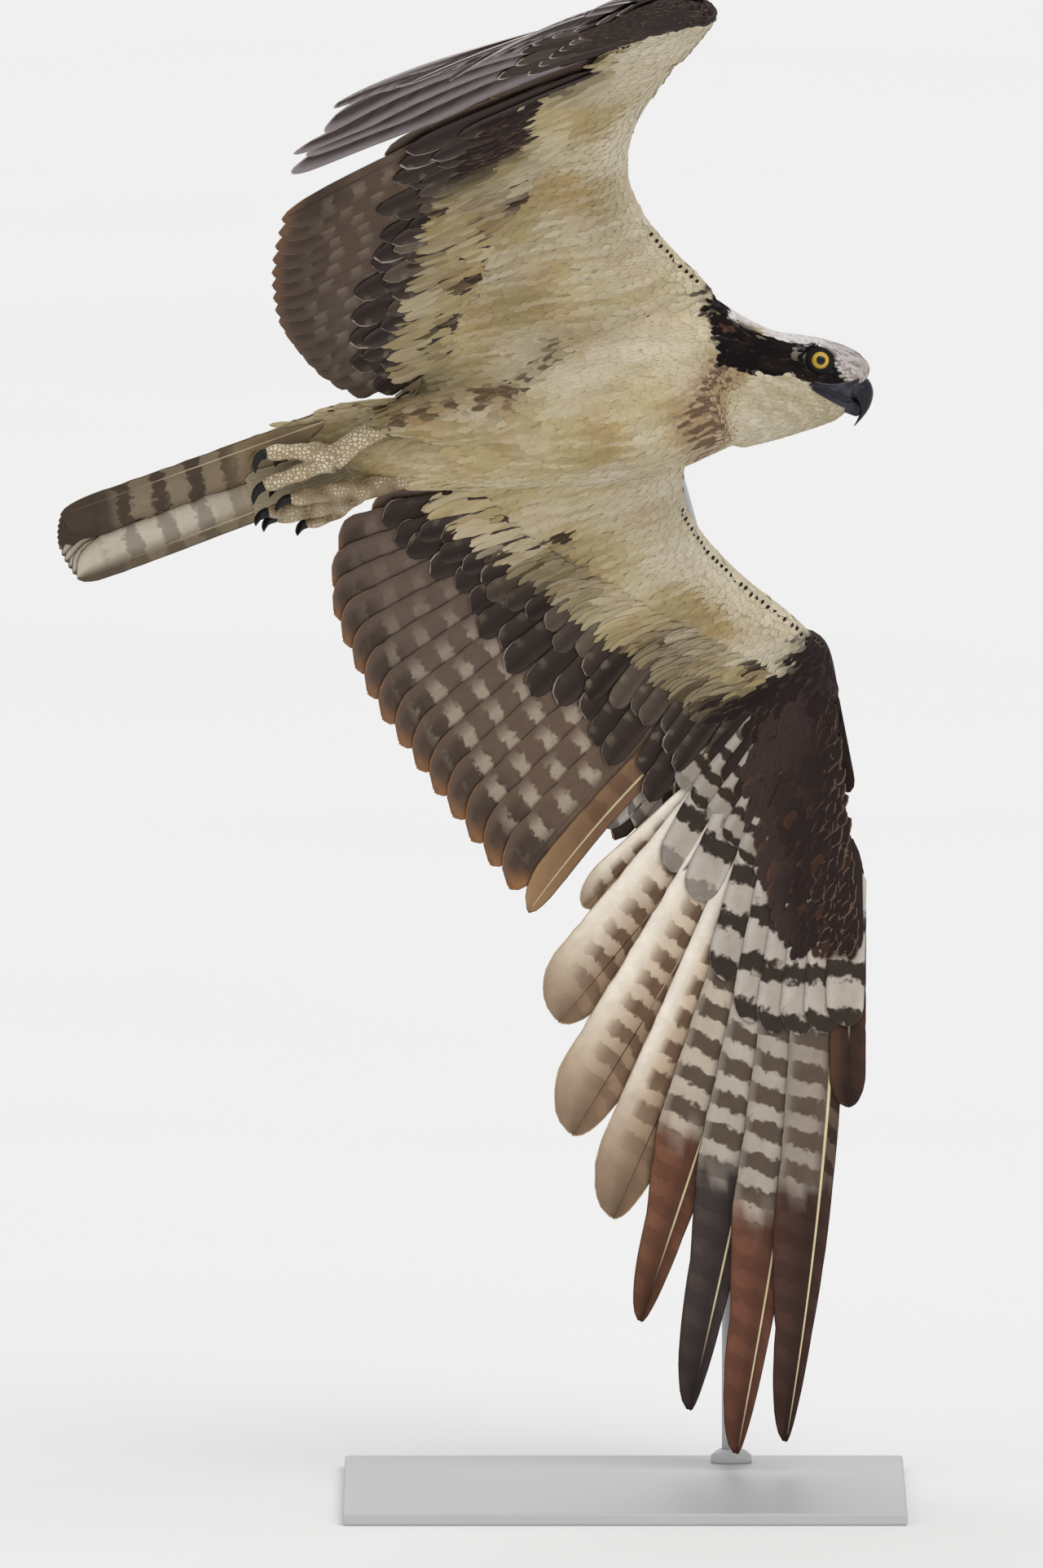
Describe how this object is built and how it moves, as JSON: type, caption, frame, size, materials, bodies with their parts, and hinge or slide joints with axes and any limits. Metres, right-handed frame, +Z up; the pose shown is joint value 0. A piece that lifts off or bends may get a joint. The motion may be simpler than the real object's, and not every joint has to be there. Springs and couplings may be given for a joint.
{
  "type": "osprey in flight on a display stand",
  "caption": "Life-size osprey banking in flight with wings spread and feet tucked back, held on a plain plate and bent rod.",
  "frame": {"origin": "centre of the stand plate's underside, on the ground", "axes": "+X towards the bird's bill, +Z up, -Y towards the side the bird shows its belly to"},
  "size_m": [0.5421, 0.9694, 0.9974],
  "materials": {
    "head_coat": "matte",
    "neck_coat": "matte",
    "torso_coat": "matte",
    "wing_feathers": "matte",
    "tail_feathers": "matte",
    "bill": "satin",
    "eye": "gloss",
    "foot_skin": "matte",
    "claw": "satin",
    "stand_paint": "satin"
  },
  "bodies": {
    "root": {"head": "head_coat", "neck": "neck_coat", "torso": "torso_coat", "wing_arm_left": "wing_feathers", "wing_hand_left": "wing_feathers", "wing_arm_right": "wing_feathers", "wing_hand_right": "wing_feathers", "tail": "tail_feathers", "bill_upper": "bill", "bill_lower": "bill", "eye_left": "eye", "eye_right": "eye", "foot_left": "foot_skin", "foot_right": "foot_skin", "claw_left_1": "claw", "claw_left_2": "claw", "claw_left_3": "claw", "claw_left_4": "claw", "claw_right_1": "claw", "claw_right_2": "claw", "claw_right_3": "claw", "claw_right_4": "claw", "stand_base": "stand_paint", "stand_rod": "stand_paint"}
  },
  "joints": []
}
